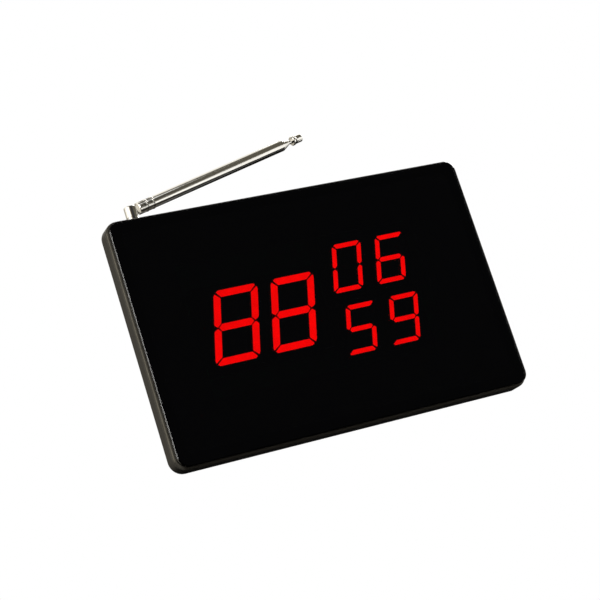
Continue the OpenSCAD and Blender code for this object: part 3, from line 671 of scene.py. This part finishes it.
def on_post(s, u, v):
    """The place at height s on the post, u along the antenna's heading and v across it."""
    return post_mid + Vector((0, 0, s)) + heading * u + across * v


def post_mesh():
    """The post: a shank, a bead at the foot, a straight body and a rounded-off crown with its slot."""
    foot = case_high.z + 0.1 * MM
    shank_r, crown, groove = 1.8 * MM, 0.6 * MM, 0.14 * MM
    profile = [(post_low.z, 0.0), (post_low.z, shank_r), (foot, shank_r), (foot, post_r - 0.15 * MM),
               (foot + 0.15 * MM, post_r), (foot + 0.7 * MM, post_r),
               (foot + 0.85 * MM, post_r - groove), (foot + 1.05 * MM, post_r - groove),
               (foot + 1.2 * MM, post_r)]
    profile += arc((post_high.z - crown, post_r - crown), crown, 90, 0, 8) + [(post_high.z, 0.0)]
    form = bmesh.new()
    skin(form, turned_ring(form, profile, 64, on_post))
    half_slot = 1.15 * MM
    cutter = box_mesh(on_post, (pin_at.z - 2.9 * MM, -2 * post_r, -half_slot),
                      (pin_at.z + 2 * post_r, 2 * post_r, half_slot))
    return cut_from(mesh_of("post", form), [cutter])


new_piece("slotted_swivel_post", post_mesh(), chrome, "swivel", "chrome_brass", "swivel_post")


def pin_mesh():
    """The tilt pin: a rivet with slightly domed ends, flush in the post's ears."""
    radius, half = 0.9 * MM, 2.8 * MM
    profile = [(-half - 0.12 * MM, 0.0), (-half - 0.08 * MM, radius * 0.5), (-half, radius * 0.92),
               (-half + 0.1 * MM, radius), (half - 0.1 * MM, radius), (half, radius * 0.92),
               (half + 0.08 * MM, radius * 0.5), (half + 0.12 * MM, 0.0)]
    form = bmesh.new()
    skin(form, turned_ring(form, profile, 32, lambda s, u, v: on_arm(u, s, v)))
    return mesh_of("pin", form)


new_piece("tilt_rivet", pin_mesh(), nickel, "swivel", "chrome_brass", "hinge_pin")

# ------------------------------------------------------------------ antenna arm
# Thin drawn brass tubes slide in each other; each mouth is rolled in over the
# next tube. The base tube is knurled and crimped twice where it holds its foot.

TUBE_WALL = 0.3 * MM
LIP = 1.35 * MM                # length of a tube's rolled mouth
RING_RISE = 0.25 * MM          # height of a crimped ring over its tube
ROUND_STEPS = 8


def tube_profile(start, end, radius, mouth, rings=()):
    """A closed wall section: outside with raised rings, the rolled mouth and back along the bore."""
    outside = [(start, radius)]
    for s in rings:
        outside += [(s - 0.5 * MM, radius), (s - 0.34 * MM, radius + 0.17 * MM), (s, radius + RING_RISE),
                    (s + 0.34 * MM, radius + 0.17 * MM), (s + 0.5 * MM, radius)]
    rim = mouth + 0.12 * MM
    roll = [(end - LIP + LIP * math.sin(math.radians(90 * k / ROUND_STEPS)),
             rim + (radius - rim) * math.cos(math.radians(90 * k / ROUND_STEPS)))
            for k in range(ROUND_STEPS + 1)]
    bore = [(end - 0.02 * MM, mouth), (end - LIP * 0.8, mouth), (end - LIP, radius - TUBE_WALL),
            (start, radius - TUBE_WALL)]
    return outside + roll + bore


def tube_mesh(name, profile):
    """A tube turned about the arm from its closed wall section."""
    form = bmesh.new()
    skin(form, turned_ring(form, profile, 64, on_arm), closed=True)
    return mesh_of(name, form, 40)


base_start, base_end, base_ring_r = reach("base_tube")
base_r = base_ring_r - RING_RISE
STEP = 0.5 * MM                # how much thinner each tube is than the one before
CLEAR = 0.06 * MM              # gap between a rolled mouth and the tube in it
RINGS = [9.4 * MM, 13.4 * MM]
base_profile = tube_profile(base_start, base_end, base_r, base_r - STEP + CLEAR, RINGS)
new_piece("crimped_base_tube", tube_mesh("base", base_profile), chrome, "arm", "chrome_brass",
          "base_tube")

for k in (2, 3, 4):
    start, end, collar_r = reach(f"section_{k}")
    radius = base_r - STEP * (k - 1)
    collar_end = start + 5 * MM
    profile = tube_profile(start, end, radius, radius - STEP + CLEAR)
    profile = [(start, collar_r - 0.1 * MM), (start + 0.2 * MM, collar_r),
               (collar_end - 0.2 * MM, collar_r), (collar_end, radius)] + profile[1:]
    new_piece(f"drawn_tube_{k}", tube_mesh(f"tube_{k}", profile), chrome, f"tube_{k}", "chrome_brass",
              f"section_{k}")


def knurl_tree(material):
    """A band of small pressed teeth round a tube: one at each point, turned to face outward."""
    tree, size = new_tree("crimp knurling", ["Tooth length", "Tooth width", "Tooth height"])
    tooth = add(tree, "GeometryNodeMeshCube", {"Size": vector(
        tree, size["Tooth height"], size["Tooth width"], size["Tooth length"])}).outputs[0]
    facing = add(tree, "FunctionNodeAlignEulerToVector", {"Vector": add(
        tree, "GeometryNodeInputNormal").outputs[0]}, axis="X").outputs[0]
    along = add(tree, "FunctionNodeAlignEulerToVector", {
        "Rotation": facing, "Vector": tuple(outward)}, axis="Z", pivot_axis="X").outputs[0]
    spread = add(tree, "GeometryNodeInstanceOnPoints", {
        "Points": size["Geometry"], "Instance": tooth, "Rotation": along}).outputs[0]
    close_tree(tree, spread, material)
    return tree


TEETH = 42
KNURLS = [7.5 * MM, 11.4 * MM]
knurl_spots = bpy.data.meshes.new("knurl spots")
form = bmesh.new()
for s in KNURLS:
    turns = [2 * math.pi * k / TEETH for k in range(TEETH)]
    ring = [form.verts.new(on_arm(s, base_r * math.cos(a), base_r * math.sin(a))) for a in turns]
    side = [form.verts.new(v.co + outward * 0.01 * MM) for v in ring]
    skin(form, [ring, side])
bmesh.ops.recalc_face_normals(form, faces=form.faces)
form.to_mesh(knurl_spots)
form.free()
knurls = grown("crimp_knurls", knurl_tree(chrome), {
    "Tooth length": 2.1 * MM, "Tooth width": 0.22 * MM, "Tooth height": 0.16 * MM}, knurl_spots)
new_piece("crimp_knurls", knurls, chrome, "arm", "chrome_brass")


def plug_mesh():
    """The arm's foot: a flat tongue with a round end on the pin, a collar and a plug inside the tube."""
    end = reach("arm_plug")[1]
    half, tongue_r, tongue_w, hole_r = 1.05 * MM, 2.5 * MM, 2.3 * MM, 0.96 * MM
    collar, plug = 4.3 * MM, 5.85 * MM
    profile = [(collar, 0.0), (collar, base_r - 0.3 * MM), (collar + 0.3 * MM, base_r + 0.12 * MM),
               (plug - 0.3 * MM, base_r + 0.12 * MM), (plug, base_r - 0.1 * MM), (plug, base_r - TUBE_WALL),
               (end, base_r - TUBE_WALL), (end, 0.0)]
    form = bmesh.new()
    skin(form, turned_ring(form, profile, 64, on_arm))
    steps = 24
    disc = [(tongue_r * math.cos(a), tongue_r * math.sin(a))
            for a in (math.pi / 2 + math.pi * k / steps for k in range(steps + 1))]
    outline = disc + [(collar + 0.1 * MM, -tongue_w), (collar + 0.1 * MM, tongue_w)]
    sides = [[form.verts.new(on_arm(s, u, v)) for s, v in outline] for u in (-half, half)]
    skin(form, sides)
    form.faces.new(sides[0])
    form.faces.new(list(reversed(sides[1])))
    body = mesh_of("foot", form)
    hole = bmesh.new()
    through = [(-2 * half, 0.0), (-2 * half, hole_r), (2 * half, hole_r), (2 * half, 0.0)]
    skin(hole, turned_ring(hole, through, 32, lambda s, u, v: on_arm(u, s, v)))
    return cut_from(body, [mesh_of("hole", hole)])


new_piece("arm_foot", plug_mesh(), chrome, "arm", "chrome_brass", "arm_plug")

# ------------------------------------------------------------------ antenna tip
# A solid rod ends in a turned knob, which is what fingers pull: a thin ring,
# a groove and a short barrel. Brass, chromed like the tubes.

rod_start, rod_end, rod_collar = reach("tip_rod")
knob_start, knob_end, knob_r = reach("tip_knob")
rod_r = 1.1 * MM
profile = [(rod_start, 0.0), (rod_start, rod_collar - 0.1 * MM), (rod_start + 0.15 * MM, rod_collar),
           (rod_start + 4.9 * MM, rod_collar), (rod_start + 5 * MM, rod_r), (rod_end, rod_r),
           (rod_end, 0.0)]
form = bmesh.new()
skin(form, turned_ring(form, profile, 40, on_arm))
new_piece("pull_rod", mesh_of("rod", form), chrome, "tip", "chrome_brass", "tip_rod")

barrel_r, groove_r = knob_r - 0.35 * MM, 1.7 * MM
profile = [(knob_start, rod_r), (knob_start, knob_r - 0.3 * MM), (knob_start + 0.3 * MM, knob_r),
           (knob_start + 0.95 * MM, knob_r), (knob_start + 1.2 * MM, knob_r - 0.3 * MM),
           (knob_start + 1.6 * MM, groove_r), (knob_start + 1.9 * MM, groove_r),
           (knob_start + 2.2 * MM, barrel_r - 0.1 * MM), (knob_start + 2.3 * MM, barrel_r)]
profile += arc((knob_end - 0.35 * MM, barrel_r - 0.35 * MM), 0.35 * MM, 90, 0, 6)
profile += [(knob_end, 0.0), (rod_end - 2.9 * MM, 0.0), (rod_end - 2.9 * MM, rod_r)]
form = bmesh.new()
skin(form, turned_ring(form, profile, 56, on_arm), closed=True)
new_piece("pull_knob", mesh_of("knob", form, 28), chrome, "tip", "chrome_brass", "tip_knob")

# ------------------------------------------------------------------ studio
# A pale floor below the hung receiver, a white sweep behind it, darkness in
# front and below, and bright and grey panels that the chrome antenna mirrors.

FLOOR_DROP = 0.186
FLOOR_HALF = 1.5
floor_z = case_low.z - FLOOR_DROP
floor = bpy.data.objects.new("floor", bpy.data.meshes.new("floor"))
floor.data.from_pydata([(x * FLOOR_HALF, y * FLOOR_HALF, floor_z) for x, y in
                        ((-1, -1), (1, -1), (1, 1), (-1, 1))], [], [(0, 1, 2, 3)])
bpy.context.scene.collection.objects.link(floor)
paper, tree, shader, place = shader_of("pale matt paper", "f1f1ef", 0.9)
tree.links.new(tint(tree, noise(tree, place, 0.4, 2.0), "efefed", "f4f4f2"), shader.inputs["Base Color"])
floor.data.materials.append(paper)
floor.visible_glossy = False

world = bpy.data.worlds.new("studio")
bpy.context.scene.world = world
world.use_nodes = True
tree = world.node_tree
tree.nodes.clear()
sky = add(tree, "ShaderNodeSeparateXYZ", {0: add(tree, "ShaderNodeTexCoord").outputs["Generated"]}).outputs

bearing = maths(tree, "DEGREES", maths(tree, "ARCTAN2", sky[0], maths(tree, "MULTIPLY", sky[1], -1.0)))
height = maths(tree, "DEGREES", maths(tree, "ARCSINE", sky[2]))


def window(low, high, bottom, top, soft):
    """1 between two bearings and two heights, fading to 0 over soft; degrees, bearing 0 is the front."""
    edges = [remap(tree, bearing, low - soft, low, 0, 1), remap(tree, bearing, high, high + soft, 1, 0),
             remap(tree, height, bottom - soft, bottom, 0, 1), remap(tree, height, top, top + soft, 1, 0)]
    inside = edges[0]
    for edge in edges[1:]:
        inside = maths(tree, "MULTIPLY", inside, edge)
    return inside


def over(room, mask, colour, strength):
    """The room with a light of the given hex colour and strength laid over it where mask is 1."""
    bright = [c * strength for c in linear(colour)[:3]] + [1.0]
    return add(tree, "ShaderNodeMix", {0: mask, 6: room, 7: bright}, data_type="RGBA").outputs[2]


room = tint(tree, remap(tree, height, -14, -4, 0, 1), "0c0c0b", "37373a")
room = over(room, window(39, 130, -18, 70, 4), "5f5b50", 1.0)            # dim wall on the right
room = over(room, window(-30, 2, -8, 40, 6), "4a4238", 1.0)              # dim wall in front
behind = maths(tree, "MULTIPLY", remap(tree, sky[1], 0.02, 0.14, 0, 1), remap(tree, height, -2, 3, 0, 1))
room = over(room, behind, "fffbf2", 1.0)                                  # white sweep
room = over(room, window(-172, -130, -12, 32, 6), "b5afa2", 1.0)         # grey panel behind, left
room = over(room, window(-112, -26, -8, 36, 6), "fffaf0", 1.25)          # bright panel on the left
room = over(room, window(46, 98, -37, 8, 2), "fffdf8", 1.2)              # bright low panel, right
to_lens = add(tree, "ShaderNodeLightPath").outputs["Is Camera Ray"]
WHITE = (1.0, 1.0, 1.0, 1.0)
shown = add(tree, "ShaderNodeMix", {0: to_lens, 6: room, 7: WHITE}, data_type="RGBA").outputs[2]
glow = add(tree, "ShaderNodeBackground", {"Color": shown, "Strength": 1.0})
add(tree, "ShaderNodeOutputWorld", {"Surface": glow.outputs[0]})


def soft_box(name, direction, distance, width, height, radiance):
    """A rectangular lamp that faces the middle of the case; radiance is how bright it looks."""
    lamp = bpy.data.lights.new(name, "AREA")
    lamp.shape = "RECTANGLE"
    lamp.size, lamp.size_y = width, height
    lamp.energy = radiance * math.pi * width * height
    box = bpy.data.objects.new(name, lamp)
    box.location = case_centre + Vector(direction).normalized() * distance
    box.rotation_mode = "QUATERNION"
    box.rotation_quaternion = (-Vector(direction)).to_track_quat("-Z", "Y")
    box.visible_camera = False
    bpy.context.scene.collection.objects.link(box)


soft_box("left soft box", (-0.88, -0.42, 0.2), 1.2, 0.5, 0.8, 3.6)
soft_box("top soft box", (0.1, -0.5, 0.9), 1.4, 0.8, 0.4, 1.0)
soft_box("rear soft box", (0.95, 0.75, 0.8), 1.4, 0.9, 0.7, 7.0)

bpy.context.scene.view_settings.view_transform = "Standard"

# ------------------------------------------------------------------ camera
# A long lens to the left of the receiver and below it, looking slightly up and
# rolled, so that the slab leans to the right.

CAMERA_AZIMUTH = -25.115
CAMERA_ELEVATION = -12.513
CAMERA_ROLL = 17.89
CAMERA_DISTANCE = 0.8519
CAMERA_LENS = 101.35
AIM = Vector((-0.01079, 0.00364, 0.00579))

azimuth, elevation = math.radians(CAMERA_AZIMUTH), math.radians(CAMERA_ELEVATION)
away = Vector((math.sin(azimuth) * math.cos(elevation), -math.cos(azimuth) * math.cos(elevation),
               math.sin(elevation)))
aim_at = Vector((0, cad_box[0].y, 0)) + AIM
lens = bpy.data.cameras.new("camera")
lens.lens = CAMERA_LENS
lens.sensor_width = 36.0
camera = bpy.data.objects.new("camera", lens)
camera.rotation_mode = "QUATERNION"
camera.location = aim_at + away * CAMERA_DISTANCE
level = (-away).to_track_quat("-Z", "Y")
camera.rotation_quaternion = Matrix.Rotation(math.radians(CAMERA_ROLL), 3, -away).to_quaternion() @ level
bpy.context.scene.collection.objects.link(camera)
bpy.context.scene.camera = camera
